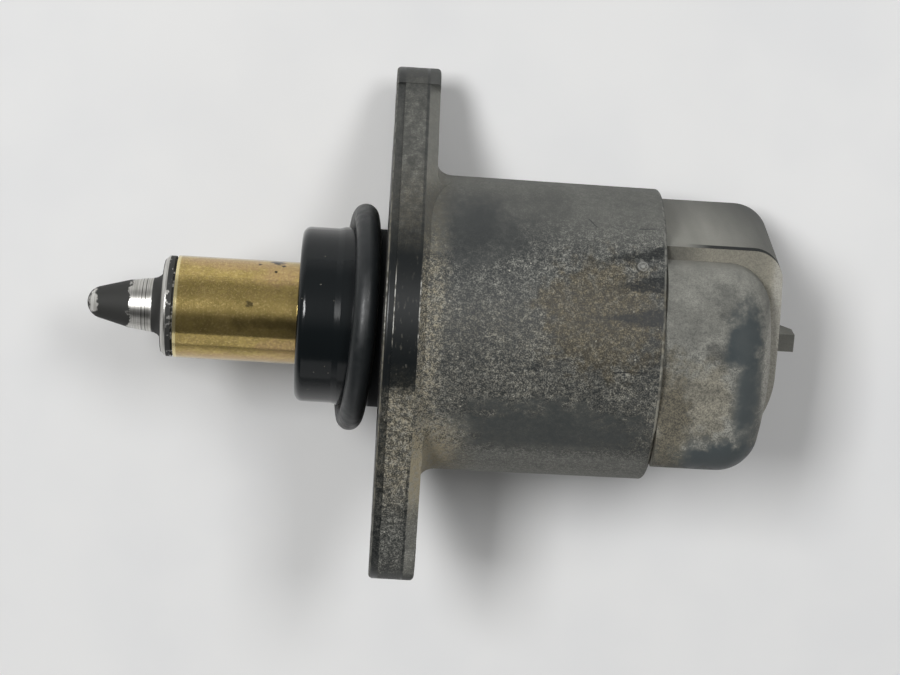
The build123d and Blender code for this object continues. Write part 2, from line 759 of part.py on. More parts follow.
housing.part.label = "housing"
export_step(housing.part, "parts/housing.step")
flange_bushes.part.label = "flange_bushes"
export_step(flange_bushes.part, "parts/flange_bushes.step")
spigot_seal.part.label = "spigot_seal"
export_step(spigot_seal.part, "parts/spigot_seal.step")
plunger.part.label = "plunger"
export_step(plunger.part, "parts/plunger.step")
pintle.part.label = "pintle"
export_step(pintle.part, "parts/pintle.step")
lead_screw.part.label = "lead_screw"
export_step(lead_screw.part, "parts/lead_screw.step")
screw_clip.part.label = "screw_clip"
export_step(screw_clip.part, "parts/screw_clip.step")
bearing_inner_race.part.label = "bearing_inner_race"
export_step(bearing_inner_race.part, "parts/bearing_inner_race.step")
bearing_outer_race.part.label = "bearing_outer_race"
export_step(bearing_outer_race.part, "parts/bearing_outer_race.step")
bearing_balls.part.label = "bearing_balls"
export_step(bearing_balls.part, "parts/bearing_balls.step")
bearing_cage.part.label = "bearing_cage"
export_step(bearing_cage.part, "parts/bearing_cage.step")
rotor_hub.part.label = "rotor_hub"
export_step(rotor_hub.part, "parts/rotor_hub.step")
rotor_magnet.part.label = "rotor_magnet"
export_step(rotor_magnet.part, "parts/rotor_magnet.step")
thrust_washer.part.label = "thrust_washer"
export_step(thrust_washer.part, "parts/thrust_washer.step")
rear_bush.part.label = "rear_bush"
export_step(rear_bush.part, "parts/rear_bush.step")
front_stator_cup.part.label = "front_stator_cup"
export_step(front_stator_cup.part, "parts/front_stator_cup.step")
front_pole_plate.part.label = "front_pole_plate"
export_step(front_pole_plate.part, "parts/front_pole_plate.step")
front_bobbin.part.label = "front_bobbin"
export_step(front_bobbin.part, "parts/front_bobbin.step")
front_coil.part.label = "front_coil"
export_step(front_coil.part, "parts/front_coil.step")
rear_pole_plate.part.label = "rear_pole_plate"
export_step(rear_pole_plate.part, "parts/rear_pole_plate.step")
rear_bobbin.part.label = "rear_bobbin"
export_step(rear_bobbin.part, "parts/rear_bobbin.step")
rear_coil.part.label = "rear_coil"
export_step(rear_coil.part, "parts/rear_coil.step")
rear_stator_cup.part.label = "rear_stator_cup"
export_step(rear_stator_cup.part, "parts/rear_stator_cup.step")
rear_cover.part.label = "rear_cover"
export_step(rear_cover.part, "parts/rear_cover.step")
cover_seal.part.label = "cover_seal"
export_step(cover_seal.part, "parts/cover_seal.step")
for number, blade in enumerate(terminals, start=1):
    blade.label = f"terminal_{number}"
    export_step(blade, f"parts/terminal_{number}.step")
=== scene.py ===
# %% [markdown]
# # An idle air control valve, dressed for a photograph
#
# The valve meters idle air in an engine: a small stepper motor in the round barrel drives a brass
# plunger, and the steel pintle on its end closes an air port. The solids come from the CAD model.
# This lesson adds what the solids lack: camera, light, floor, finishes, dust and wear, and the mark
# that the moulding gate left. Each CAD node keeps its place and shape, and only gets a material, so
# the part still fits its drawing.

# %% Load the packed solids
from math import cos, radians, sin, tau

import bmesh
import bpy
from mathutils import Euler, Matrix, Vector


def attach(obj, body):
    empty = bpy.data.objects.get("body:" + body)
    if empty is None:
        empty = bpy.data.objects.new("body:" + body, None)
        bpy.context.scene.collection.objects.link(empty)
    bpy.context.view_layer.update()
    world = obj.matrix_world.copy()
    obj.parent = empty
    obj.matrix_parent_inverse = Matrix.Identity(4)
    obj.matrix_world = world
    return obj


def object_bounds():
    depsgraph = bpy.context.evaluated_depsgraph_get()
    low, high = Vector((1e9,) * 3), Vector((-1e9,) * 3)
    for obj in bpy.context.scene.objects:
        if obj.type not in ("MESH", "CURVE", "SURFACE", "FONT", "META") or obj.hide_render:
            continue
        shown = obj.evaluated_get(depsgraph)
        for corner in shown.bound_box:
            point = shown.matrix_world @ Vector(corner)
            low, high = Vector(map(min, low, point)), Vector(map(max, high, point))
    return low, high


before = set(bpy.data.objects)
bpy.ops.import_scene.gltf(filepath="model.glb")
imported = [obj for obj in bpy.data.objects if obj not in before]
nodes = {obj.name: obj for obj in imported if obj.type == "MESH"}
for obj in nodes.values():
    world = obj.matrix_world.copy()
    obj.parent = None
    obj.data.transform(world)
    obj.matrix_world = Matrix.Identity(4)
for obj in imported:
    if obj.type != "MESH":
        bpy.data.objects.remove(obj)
cad_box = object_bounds()
scene = bpy.context.scene
print("CAD nodes:", len(nodes), "box in metres:", cad_box)

# %% [markdown]
# ## Camera
#
# The photograph was taken from above, with the camera leaning a little towards the far side of
# the valve. A camera could be aimed by eye with a Track To constraint, but a lens, a place and
# three angles that were fitted to edges of the photograph keep every edge within a few pixels.
# The picture sits a little high in its frame, so a small vertical shift moves it there.

# %% Make the camera
LENS_MM = 98.24
SENSOR_MM = 36.0
CAMERA_PLACE = Vector((-0.00133, 0.07151, 0.26087))
CAMERA_TURN = Euler((radians(-14.894), radians(-0.890), radians(3.728)))
CAMERA_SHIFT_Y = -0.0417
NEAREST_M = 0.01

camera_data = bpy.data.cameras.new("photo_camera")
camera_data.lens = LENS_MM
camera_data.sensor_fit = "HORIZONTAL"
camera_data.sensor_width = SENSOR_MM
camera_data.shift_y = CAMERA_SHIFT_Y
camera_data.clip_start = NEAREST_M
camera = bpy.data.objects.new("photo_camera", camera_data)
camera.location = CAMERA_PLACE
camera.rotation_euler = CAMERA_TURN
scene.collection.objects.link(camera)
scene.camera = camera
scene.view_settings.view_transform = "Standard"
print("camera at", tuple(round(v, 4) for v in camera.location))

# %% [markdown]
# ## Light
#
# The shadows on the table say where the light was: two windows beyond the far side, the left one
# twice as strong as the right one, and on the near side only a pale card that fills in. A sun lamp
# would draw hard shadows, and a sky texture would light all sides alike, so three area lamps stand
# in these places. The windows hang off the line on which the barrel would mirror them to the camera,
# and all three are hidden from the camera itself, so that low views see the room behind them.

# %% Hang the lamps
ALONG_X = Vector((1.0, 0.0, 0.0))
ALONG_Y = Vector((0.0, 1.0, 0.0))
# Each lamp: name, place in metres, direction of its first side, both sides in metres, watts.
LAMPS = (
    ("left_window", Vector((-0.37, 0.36, 0.86)), ALONG_Y, (0.34, 0.22), 6.3),
    ("right_window", Vector((0.33, 0.46, 0.82)), ALONG_Y, (0.34, 0.22), 3.1),
    ("near_card", Vector((0.0, -0.88, 0.46)), ALONG_X, (0.90, 0.52), 0.8),
)


def soft_lamp(name, place, along, size, power):
    """A rectangular lamp at place that faces the valve, with its first side along a direction."""
    data = bpy.data.lights.new(name, "AREA")
    data.shape = "RECTANGLE"
    data.size, data.size_y = size
    data.energy = power
    back = place.normalized()
    up = back.cross(along).normalized()
    side = up.cross(back)
    turn = Matrix((side, up, back)).transposed().to_4x4()
    lamp = bpy.data.objects.new(name, data)
    lamp.matrix_world = Matrix.Translation(place) @ turn
    lamp.visible_camera = False
    scene.collection.objects.link(lamp)


for lamp_values in LAMPS:
    soft_lamp(*lamp_values)

# %% [markdown]
# ## A helper for nodes
#
# The room and every finish are small graphs of nodes, and node code is long when each link is its
# own line. A node group could bundle parts of it, but groups hide values from the export. So one
# class holds a node tree, and each of its methods adds a node or two and returns an output. Masks
# are numbers from 0 to 1: a product of masks is where they overlap, the most of them where any is.

# %% Define the graph
class Graph:
    """A node tree; each method adds nodes to it and returns an output socket."""

    def __init__(self, tree):
        self.tree = tree

    def add(self, kind):
        """Adds one node of a kind and returns the node itself."""
        return self.tree.nodes.new(kind)

    def put(self, socket, value):
        """Links a socket to an output, or sets it to a plain value."""
        if isinstance(value, bpy.types.NodeSocket):
            self.tree.links.new(value, socket)
        elif socket.type == "RGBA":
            socket.default_value = (*value, 1.0)
        else:
            socket.default_value = value

    def axes(self, vector):
        """The X, Y and Z parts of a vector."""
        node = self.add("ShaderNodeSeparateXYZ")
        self.put(node.inputs["Vector"], vector)
        return node.outputs

    def vector(self, operation, first, second=None, scale=None):
        """One step of vector arithmetic; lengths and dot products come out as numbers."""
        node = self.add("ShaderNodeVectorMath")
        node.operation = operation
        self.put(node.inputs[0], first)
        if second is not None:
            self.put(node.inputs[1], second)
        if scale is not None:
            self.put(node.inputs["Scale"], scale)
        return node.outputs["Value" if operation in ("LENGTH", "DOT_PRODUCT") else "Vector"]

    def math(self, operation, *values):
        """One step of arithmetic."""
        node = self.add("ShaderNodeMath")
        node.operation = operation
        for socket, value in zip(node.inputs, values):
            self.put(socket, value)
        return node.outputs["Value"]

    def product(self, first, *others):
        """All values multiplied."""
        for other in others:
            first = self.math("MULTIPLY", first, other)
        return first

    def most(self, first, *others):
        """The largest of the values."""
        for other in others:
            first = self.math("MAXIMUM", first, other)
        return first

    def fade(self, value, start, end, low=0.0, high=1.0, curve="SMOOTHSTEP"):
        """Runs from low at start to high at end, and stays level beyond them."""
        node = self.add("ShaderNodeMapRange")
        node.interpolation_type = curve
        for name, number in (("From Min", start), ("From Max", end), ("To Min", low), ("To Max", high)):
            self.put(node.inputs[name], number)
        self.put(node.inputs["Value"], value)
        return node.outputs["Result"]

    def blend(self, mask, first, second):
        """The first number, and the second one where the mask is 1."""
        node = self.add("ShaderNodeMix")
        self.put(node.inputs[0], mask)
        self.put(node.inputs[2], first)
        self.put(node.inputs[3], second)
        return node.outputs[0]

    def mix(self, mask, first, second):
        """The first colour, and the second one where the mask is 1."""
        node = self.add("ShaderNodeMix")
        node.data_type = "RGBA"
        self.put(node.inputs[0], mask)
        self.put(node.inputs[6], first)
        self.put(node.inputs[7], second)
        return node.outputs[2]

    def seen(self):
        """1 for the rays that show a thing: from the camera, mirrored or bent."""
        ray = self.add("ShaderNodeLightPath").outputs
        return self.most(ray["Is Camera Ray"], ray["Is Glossy Ray"], ray["Is Transmission Ray"])


print("a graph can:", ", ".join(name for name in vars(Graph) if not name.startswith("_")))

# %% [markdown]
# ## Room
#
# Around the lamps the room is grey: pale on the far side, dim on the near side, and brighter towards
# the horizon, as between walls. One uniform grey would be simpler, but then the brass and the barrel
# would have nothing dark to mirror. The lowest part is lifted once more, by a haze that only shows
# in rays that are seen. It keeps the background of low views pale and puts no light on the valve.

# %% Shade the room
NEAR_GREY = 0.03
FAR_GREY = 0.28
NEAR_SIDE = -0.15
FAR_SIDE = 0.25
HAZE_GREY = 0.22
HORIZON_GAIN = 2.2
HORIZON_TOP = 0.35

world = bpy.data.worlds.new("studio_room")
world.use_nodes = True
scene.world = world
room = Graph(world.node_tree)
direction = room.axes(room.add("ShaderNodeTexCoord").outputs["Generated"])
grey = room.fade(direction["Y"], NEAR_SIDE, FAR_SIDE, NEAR_GREY, FAR_GREY)
haze = room.fade(direction["Z"], 0.0, HORIZON_TOP, HAZE_GREY, 0.0, "LINEAR")
glow = room.fade(direction["Z"], 0.0, HORIZON_TOP, HORIZON_GAIN, 1.0)
background = world.node_tree.nodes["Background"]
room.put(background.inputs["Color"], room.most(grey, room.product(room.seen(), haze)))
room.put(background.inputs["Strength"], glow)
print("room greys:", NEAR_GREY, "to", FAR_GREY)

# %% [markdown]
# ## Patterns on the part
#
# Dirt and wear have a place and a size on the part. An image texture would need unwrapped surfaces,
# and it gets coarse in close-up. Noise that reads the place in space needs neither. The place is
# turned into millimetres once, so that patches and grain sizes read as on a drawing.

# %% Define the patterns
MM_PER_M = 1000.0
# Values of noise seldom leave this range.
NOISE_LOW = 0.3
NOISE_HIGH = 0.7


class Patterns(Graph):
    """A graph that knows the place on the part in millimetres, and draws patterns there."""

    def __init__(self, tree):
        super().__init__(tree)
        row_place = self.add("ShaderNodeTexCoord").outputs["Object"]
        self.place = self.vector("SCALE", row_place, scale=MM_PER_M)
        self.x, self.y, self.z = self.axes(self.place)
        self.wanders = {}

    def noise(self, size, detail=2.0, rough=0.5, stretch=None):
        """Cloudy noise with lumps of about one size in millimetres; stretch scales it by axis."""
        node = self.add("ShaderNodeTexNoise")
        place = self.place
        if stretch is not None:
            place = self.vector("MULTIPLY", place, stretch)
        self.put(node.inputs["Vector"], place)
        self.put(node.inputs["Scale"], 1.0 / size)
        self.put(node.inputs["Detail"], detail)
        self.put(node.inputs["Roughness"], rough)
        return node.outputs["Fac"]

    def cloud(self, size, detail=2.0, rough=0.5, stretch=None, low=0.0, high=1.0):
        """Noise that is spread out to run from low to high."""
        return self.fade(self.noise(size, detail, rough, stretch), NOISE_LOW, NOISE_HIGH, low, high)

    def band(self, value, start, end, soft):
        """1 between start and end, with edges that are soft wide to each side."""
        return self.product(
            self.fade(value, start - soft, start + soft),
            self.fade(value, end + soft, end - soft),
        )

    def specks(self, spacing, radius, share):
        """Small round spots: a share of the cells of a Voronoi grid each hold one."""
        grid = self.add("ShaderNodeTexVoronoi")
        self.put(grid.inputs["Vector"], self.place)
        self.put(grid.inputs["Scale"], 1.0 / spacing)
        spot = self.fade(grid.outputs["Distance"], radius / spacing, 0.6 * radius / spacing)
        return self.product(spot, self.fade(grid.outputs["Color"], 1.0 - share, 1.02 - share))

    def patch(self, centre, radii, soft=0.3, ragged=0.5, grain=1.5):
        """An oval patch of the surface around a point, with a soft and ragged edge."""
        offset = self.vector("SUBTRACT", self.place, centre)
        shape = self.vector("LENGTH", self.vector("DIVIDE", offset, radii))
        if grain not in self.wanders:
            self.wanders[grain] = self.fade(self.noise(grain, 3.0, 0.6), 0.25, 0.75, -1.0, 1.0)
        edge = self.math("MULTIPLY_ADD", self.wanders[grain], ragged, shape)
        return self.fade(edge, 1.0 + soft, 1.0 - soft)

    def patches(self, rows):
        """Several patches, one from each row of values."""
        return self.most(*[self.patch(*row) for row in rows])

    def line(self, start, end, width):
        """A thin straight mark from one point to another."""
        run = Vector(end) - Vector(start)
        offset = self.vector("SUBTRACT", self.place, start)
        along = self.vector("DOT_PRODUCT", offset, run / run.length_squared)
        along = self.math("MINIMUM", self.math("MAXIMUM", along, 0.0), 1.0)
        foot = self.vector("SCALE", run, scale=along)
        return self.fade(self.vector("LENGTH", self.vector("SUBTRACT", offset, foot)), width, 0.4 * width)

    def ramp(self, value, stops):
        """Runs through (place, amount) stops along a value."""
        node = self.add("ShaderNodeValToRGB")
        first = stops[0][0]
        last = stops[-1][0]
        elements = node.color_ramp.elements
        for place, _ in stops[1:-1]:
            elements.new((place - first) / (last - first))
        for element, (_, amount) in zip(elements, stops):
            element.color = (amount, amount, amount, 1.0)
        self.put(node.inputs["Fac"], self.fade(value, first, last, curve="LINEAR"))
        return node.outputs["Color"]


print("patterns add:", ", ".join(name for name in vars(Patterns) if not name.startswith("_")))

# %% [markdown]
# ## Finishes
#
# A finish is a material with patterns. All of them use the Principled shader, which covers plastic,
# rubber and metal alike. Separate diffuse and glossy shaders could be mixed by hand, but this is the
# one that an export can read. A finish is put on by the name of the CAD node.

# %% Define a finish
class Finish(Patterns):
    """A Principled material with patterns, which dresses CAD nodes."""

    def __init__(self, name, roughness=0.5, metallic=0.0):
        self.material = bpy.data.materials.new(name)
        self.material.use_nodes = True
        super().__init__(self.material.node_tree)
        self.shader = self.tree.nodes["Principled BSDF"]
        self.set("Roughness", roughness)
        self.set("Metallic", metallic)

    def set(self, name, value):
        """Gives one of the shader's own sockets its value."""
        self.put(self.shader.inputs[name], value)

    def facing(self):
        """The X, Y and Z parts of the direction that the surface faces."""
        return self.axes(self.add("ShaderNodeTexCoord").outputs["Normal"])

    def relief(self, height, depth):
        """Roughens the surface: a height of 1 stands depth millimetres above a height of 0."""
        node = self.add("ShaderNodeBump")
        self.put(node.inputs["Height"], height)
        self.put(node.inputs["Distance"], depth / MM_PER_M)
        self.set("Normal", node.outputs["Normal"])

    def dress(self, *names):
        """Gives CAD nodes this finish."""
        for name in names:
            nodes[name].data.materials.clear()
            nodes[name].data.materials.append(self.material)
        print(self.material.name, "on", ", ".join(names))

    def tell(self, made):
        """Prints what was made, and how many shader nodes the finish has by now."""
        print(self.material.name, "has", made + ":", len(self.tree.nodes), "shader nodes")


print("a finish can:", ", ".join(name for name in vars(Finish) if not name.startswith("_")))

# %% [markdown]
# ## Floor
#
# The valve lies on a pale table. The floor is a wide sheet under its lowest point, far larger
# than the view, so that low views see it as the background too. A faint mottle keeps it from
# looking like an empty picture, and the valve's own shadow does the rest. Three lamps close to the
# valve leave a wide table dark far away, so there it glows a little, again only in rays that are seen.

# %% Lay the floor
FLOOR_SIZE = 6.0
FLOOR_PALE = (0.80, 0.80, 0.795)
FLOOR_SHADE = (0.765, 0.768, 0.77)
GLOW_START_MM = 500.0
GLOW_END_MM = 2500.0
GLOW_MOST = 0.50

bpy.ops.mesh.primitive_plane_add(size=FLOOR_SIZE, location=(0, 0, cad_box[0][2]))
floor = bpy.context.object
floor.name = "floor"
table = Finish("pale_table", roughness=0.9)
mottle = table.fade(table.noise(22.0, 3.0), 0.35, 0.7)
table.set("Base Color", table.mix(mottle, FLOOR_PALE, FLOOR_SHADE))
distance = table.vector("LENGTH", table.place)
far_off = table.fade(distance, GLOW_START_MM, GLOW_END_MM, 0.0, GLOW_MOST)
table.set("Emission Color", FLOOR_PALE)
table.set("Emission Strength", table.product(far_off, table.seen()))
floor.data.materials.append(table.material)
print("floor at z =", round(floor.location.z, 4))

# %% [markdown]
# ## Housing
#
# The housing is one black moulding that has been in an engine bay for years. Grey-brown road dust
# lies on it as a fine grain, fingers and oil have wiped some places clean, and the corner between
# flange and barrel has caught tan dirt. An image of dirt would be quick, but it has no scale and
# slides over the shape, so the film is built from noise, and patches are placed in millimetres.
# The film is a share of cover: 0 is bare plastic and 1 is nothing but dust.

# %% Mark the zones of the housing
SPIGOT_END = -0.10
FLANGE_BACK = 3.70
RIM_X = 29.4
BORDER = 0.05

moulding = Finish("housing_black_plastic")
x, y, z = moulding.x, moulding.y, moulding.z
off_axis = moulding.math("ABSOLUTE", y)
on_spigot = moulding.fade(x, SPIGOT_END + BORDER, SPIGOT_END - BORDER)
on_barrel = moulding.fade(x, FLANGE_BACK - BORDER, FLANGE_BACK + BORDER)
on_flange = moulding.math("SUBTRACT", 1.0, moulding.most(on_barrel, on_spigot))
front_face = moulding.product(on_flange, moulding.fade(moulding.facing()["X"], -0.75, -0.95))
on_lobe = moulding.product(on_barrel, moulding.fade(off_axis, 15.0, 17.5))
moulding.tell("its zones")

# %% [markdown]
# ### What was wiped
#
# Three dark fingers of clean plastic reach in from the barrel's rim, where a clamp was pulled off.
# Each is a wedge: a point that widens up to the rim, with a ragged edge. The other wiped places are
# plain ovals: a shoulder beside the flange, one long smear on the lower side and two small smudges.
# Scratches run straight from point to point. A drawn mask could hold them all, but then a change of
# size would mean drawing it again.

# %% Wipe the barrel
# Each finger: X and Y of its tip, Y where it meets the rim, and half its width there.
FINGERS = (
    (21.6, 10.8, 11.85, 0.62),
    (23.4, 8.6, 9.0, 1.0),
    (21.8, 5.5, 5.85, 1.05),
)
# Each scratch: its start, its end and its width.
SCRATCHES = (
    ((21.1, 14.2, 7.4), (21.9, 13.7, 8.4), 0.12),
    ((11.5, -3.05, 15.8), (12.3, -2.77, 15.9), 0.11),
    ((12.3, -2.77, 15.9), (13.3, -2.94, 15.8), 0.11),
    ((24.2, 0.0, 16.0), (27.2, 0.13, 16.0), 0.11),
    ((26.5, 13.66, 8.3), (28.1, 13.77, 8.2), 0.13),
)

shake = moulding.fade(moulding.noise(0.7, 3.0, 0.6), 0.25, 0.75, -0.35, 0.35)
patchy = moulding.fade(moulding.noise(0.28, 3.0, 0.6), 0.32, 0.52, 0.55, 1.0)
upper_side = moulding.fade(z, 0.0, 3.0)


def finger(tip_x, tip_y, rim_y, half):
    """A wedge of wiped plastic with its point at the tip, half wide to each side at the rim."""
    along = moulding.math("DIVIDE", moulding.math("SUBTRACT", x, tip_x), RIM_X - tip_x)
    middle = moulding.math("MULTIPLY_ADD", along, rim_y - tip_y, tip_y)
    aside = moulding.math("ABSOLUTE", moulding.math("SUBTRACT", y, middle))
    inside = moulding.math("MULTIPLY_ADD", along, half, moulding.product(shake, 0.7))
    wedge = moulding.fade(moulding.math("SUBTRACT", aside, inside), 0.2, -0.2)
    return moulding.product(wedge, moulding.fade(along, 0.0, 0.45, 0.5, 1.0), upper_side, patchy)


fingers = moulding.most(*[finger(*values) for values in FINGERS])
scratches = moulding.most(*[moulding.line(*values) for values in SCRATCHES])
shoulder = moulding.patch((8.6, 12.8, 9.5), (5.4, 3.6, 5.0), 0.60, 0.35)
smear = moulding.patch((17.8, -7.4, 14.4), (10.4, 3.5, 4.2), 0.55, 0.45)
rim_smear = moulding.patch((29.4, 1.2, 16.0), (1.8, 2.8, 2.0), 0.50, 0.40, 0.8)
smudge = moulding.patch((15.9, 0.12, 16.1), (0.75, 0.40, 0.7), 0.5, 0.4, 0.6)
moulding.tell("its wiped places")

# %% [markdown]
# ### Dust on the barrel
#
# Clouds of a few millimetres vary the film, the foot of the barrel and its lower left corner hold
# the most, and the underside keeps an even grey film that nothing has touched. Each wiped place
# then takes its own share away, since an oily smear stays greyer than a fresh finger mark. A single
# noise over the whole barrel would be one line, but it would look like camouflage.

# %% Lay the dust on the barrel
THIN_FILM = 0.18
THICK_FILM = 0.32
PALE_FILM = 0.37

clouds = moulding.cloud(3.5, 4.0, 0.65, (1.0, 0.45, 0.45))
tan_zone = moulding.patch((22.8, 5.6, 15.0), (6.4, 6.0, 6.0), 0.35, 0.35)
pale_zone = moulding.patch((25.8, 14.2, 8.0), (6.0, 2.6, 5.0), 0.60, 0.30)
foot = moulding.fade(moulding.math("ADD", x, shake), 7.8, 5.0)
low_corner = moulding.product(on_barrel, moulding.fade(x, 12.0, 5.5), moulding.fade(y, -3.0, -10.0))
low_edge = moulding.product(on_barrel, moulding.fade(y, -8.0, -11.8))
barrel_film = moulding.blend(clouds, THIN_FILM, THICK_FILM)
barrel_film = moulding.blend(moulding.product(tan_zone, 0.7), barrel_film, THIN_FILM)
barrel_film = moulding.blend(moulding.product(pale_zone, 0.7), barrel_film, PALE_FILM)
left_over = ((shoulder, 0.25), (smear, 0.30), (rim_smear, 0.50), (fingers, 0.16), (smudge, 0.30))
for wiped, share in left_over:
    barrel_film = moulding.product(barrel_film, moulding.blend(wiped, 1.0, share))
barrel_film = moulding.most(
    barrel_film,
    moulding.product(foot, moulding.fade(y, 13.0, 6.0, 0.24, 0.50)),
    moulding.product(low_corner, 1.1),
    moulding.product(low_edge, moulding.fade(y, -12.0, -15.0, 0.56, 0.85)),
)
lobe_film = moulding.fade(off_axis, 24.0, 25.5, 0.54, 0.15)
barrel_film = moulding.blend(on_lobe, barrel_film, lobe_film)
moulding.tell("dust on the barrel")

# %% [markdown]
# ### Dust on the flange
#
# The flange is seen on its edge, so its dust is a matter of height along Y: both lobes are grey, the
# middle is bare and glossy where a hand holds it, and the part below it is the dustiest. The narrow
# strip in front stays darker. A ramp over Y says this in one line; patches would take dozens.

# %% Lay the dust on the flange
# Each stop: a place along Y, and the film there.
FLANGE_DUST = (
    (-30.0, 0.08), (-26.3, 0.14), (-24.0, 0.24), (-17.0, 0.30), (-12.0, 0.42), (-5.0, 0.46),
    (-3.6, 0.34), (-2.6, 0.04), (0.0, 0.005), (10.5, 0.005), (13.0, 0.10), (16.5, 0.26),
    (22.0, 0.30), (25.0, 0.20), (26.3, 0.13), (30.0, 0.08),
)

streaks = moulding.cloud(1.1, 4.0, 0.7, (1.0, 0.35, 0.35), 0.78, 1.22)
hairlines = moulding.fade(moulding.noise(0.30, 2.0, 0.5, (1.0, 0.30, 0.16)), 0.60, 0.72)
front_strip = moulding.fade(x, 1.05, 0.95)
strip_share = moulding.fade(y, -6.0, 6.0, 0.28, 0.5)
rear_line = moulding.product(moulding.band(x, 3.40, 3.66, 0.05), moulding.fade(off_axis, 10.0, 13.0))
flange_film = moulding.most(
    moulding.product(moulding.ramp(y, FLANGE_DUST), streaks),
    moulding.product(hairlines, 0.09),
)
flange_film = moulding.product(
    flange_film,
    moulding.blend(rear_line, 1.0, 0.45),
    moulding.blend(front_strip, 1.0, strip_share),
)
flange_film = moulding.blend(front_face, flange_film, moulding.blend(clouds, 0.03, 0.10))
film = moulding.most(moulding.product(barrel_film, on_barrel), moulding.product(flange_film, on_flange))
moulding.tell("dust on the flange")

# %% [markdown]
# ### Grains
#
# Seen close, the film is not a grey paint but grains of about a tenth of a millimetre with black
# between them. Real grains could be scattered as tiny meshes, but there would be a million of them.
# Instead two noises, one fine and one coarser, are mixed and squared, which gives few bright grains
# and many dim ones. Wiped and shaded places keep a smooth film.

# %% Break the film into grains
FINE_GRAIN = 0.15
COARSE_GRAIN = 0.40
COARSE_SHARE = 0.4


def dust_grains(finish):
    """Grains of dust, bright in their middle and dark between them."""
    fine = finish.noise(FINE_GRAIN, 1.0)
    coarse = finish.noise(COARSE_GRAIN, 2.0)
    return finish.fade(finish.blend(COARSE_SHARE, fine, coarse), 0.28, 0.72)


grain = dust_grains(moulding)
grain = moulding.product(grain, grain)
smooth = moulding.most(shoulder, smear, moulding.product(low_edge, 0.9), moulding.product(on_lobe, 0.8))
gritty = moulding.product(moulding.fade(y, 15.0, 10.5, 0.15, 1.0), moulding.fade(smooth, 0.1, 0.9, 1.0, 0.35))
gritty = moulding.blend(on_flange, gritty, moulding.fade(y, 2.0, -4.0, 0.25, 0.9))
film = moulding.product(film, moulding.blend(gritty, 1.0, moulding.blend(grain, 0.16, 3.1)))
lumps = moulding.cloud(0.9, 4.0, 0.65, low=0.65, high=1.35)
even = moulding.most(low_edge, on_lobe, moulding.product(on_barrel, moulding.fade(y, 10.5, 13.5)))
lumps = moulding.blend(even, lumps, moulding.fade(lumps, 0.65, 1.35, 0.94, 1.06))
film = moulding.product(film, lumps, moulding.blend(scratches, 1.0, 0.25))
moulding.tell("its grains")

# %% [markdown]
# ### Colour of the dust
#
# Road dust is grey, and tan where it dried in oil: beside the wiped fingers, at the foot of the
# barrel and in its lower left corner. A few pale specks are sand. One brown for all of it would be
# simpler, but the mixture of two dusts is what makes the barrel look used rather than painted.

# %% Tint the dust
GREY_DUST = (0.296, 0.297, 0.268)
TAN_DUST = (0.330, 0.290, 0.202)
PALE_SPECK = (0.52, 0.50, 0.43)

tan = moulding.most(
    moulding.product(tan_zone, 0.8),
    moulding.product(foot, 0.65),
    low_corner,
    moulding.product(moulding.fade(y, 9.0, 4.0, 0.05, 0.3), moulding.fade(low_edge, 0.0, 1.0, 1.0, 0.1)),
)
tan = moulding.product(
    tan,
    moulding.fade(off_axis, 12.0, 20.0, 1.0, 0.1),
    moulding.fade(moulding.noise(0.5, 2.0), 0.3, 0.65, 0.5, 1.2),
)
dust = moulding.mix(tan, GREY_DUST, TAN_DUST)
specks = moulding.product(moulding.specks(0.8, 0.12, 0.25), gritty, moulding.fade(film, 0.04, 0.2))
specks = moulding.product(specks, 0.8)
dust = moulding.mix(specks, dust, PALE_SPECK)
moulding.tell("the colours of its dust")

# %% [markdown]
# ### Worn edges and painted glints
#
# The rim of the barrel and the front edge of the flange are scuffed to a thin pale line. The three
# edges of the flange also carry a painted highlight between Y 2.2 and 9: a pale line that stands for
# the glint of the lamps on their rounded corners. Near the rim the mark of the moulding gate is rubbed
# pale as well; its shape follows below. Blender can find edges by itself, with pointiness or a bevel
# node, but then all would look alike, and here some are worn and some are not. So the lines are bands
# over X.

# %% Scuff the edges and paint glints on the flange
SCUFF_AND_GLINT_PALE = (0.62, 0.62, 0.59)
GATE_X = 26.75
GATE_TURN = radians(41.0)
GATE_TOP = 16.15

outwards = Vector((0.0, sin(GATE_TURN), cos(GATE_TURN)))
gate_place = Vector((GATE_X, 0.0, 0.0)) + GATE_TOP * outwards

breaks = moulding.fade(moulding.noise(0.8, 3.0), 0.35, 0.60)
nearly = moulding.fade(breaks, 0.0, 1.0, 0.45, 1.0)
off_front = moulding.fade(front_face, 1.0, 0.0)
rim_line = moulding.product(
    moulding.band(x, RIM_X - 0.35, RIM_X - 0.04, 0.06),
    moulding.fade(y, 6.0, 2.0, 0.55, 0.9),
    nearly,
)
frost = moulding.product(moulding.band(x, -0.02, 0.20, 0.06), nearly, off_front, 0.50)
flange_edges = moulding.most(
    moulding.band(x, 0.04, 0.16, 0.05),
    moulding.band(x, 0.97, 1.06, 0.04),
    moulding.product(moulding.band(x, 3.60, 3.72, 0.04), 0.8),
)
# Painted highlight: the three flange edges turn pale between Y 2.2 and 9, for the glint of the lamps.
glint_span = moulding.product(moulding.band(y, 2.2, 9.0, 1.2), breaks)
glints = moulding.product(off_front, flange_edges, glint_span)
from_gate = moulding.vector("LENGTH", moulding.vector("SUBTRACT", moulding.place, gate_place))
gate = moulding.most(moulding.band(from_gate, 0.40, 0.58, 0.12), moulding.fade(from_gate, 0.40, 0.15))
gate = moulding.product(gate, 0.5)
film = moulding.most(film, rim_line, frost, glints, gate, specks)
# The rubbed gate mark and the painted edge highlights both turn the dust pale.
dust = moulding.mix(moulding.most(glints, gate), dust, SCUFF_AND_GLINT_PALE)
moulding.tell("its worn edges")

# %% [markdown]
# ### The finished moulding
#
# Bare plastic is glossy and dust is dull, so the roughness follows the film, and the grains also
# stand up a little as relief. The spigot is handled and oily: it stays deep black and glossy. It
# could have a material of its own, but the housing is one moulding, and masks keep its borders soft.

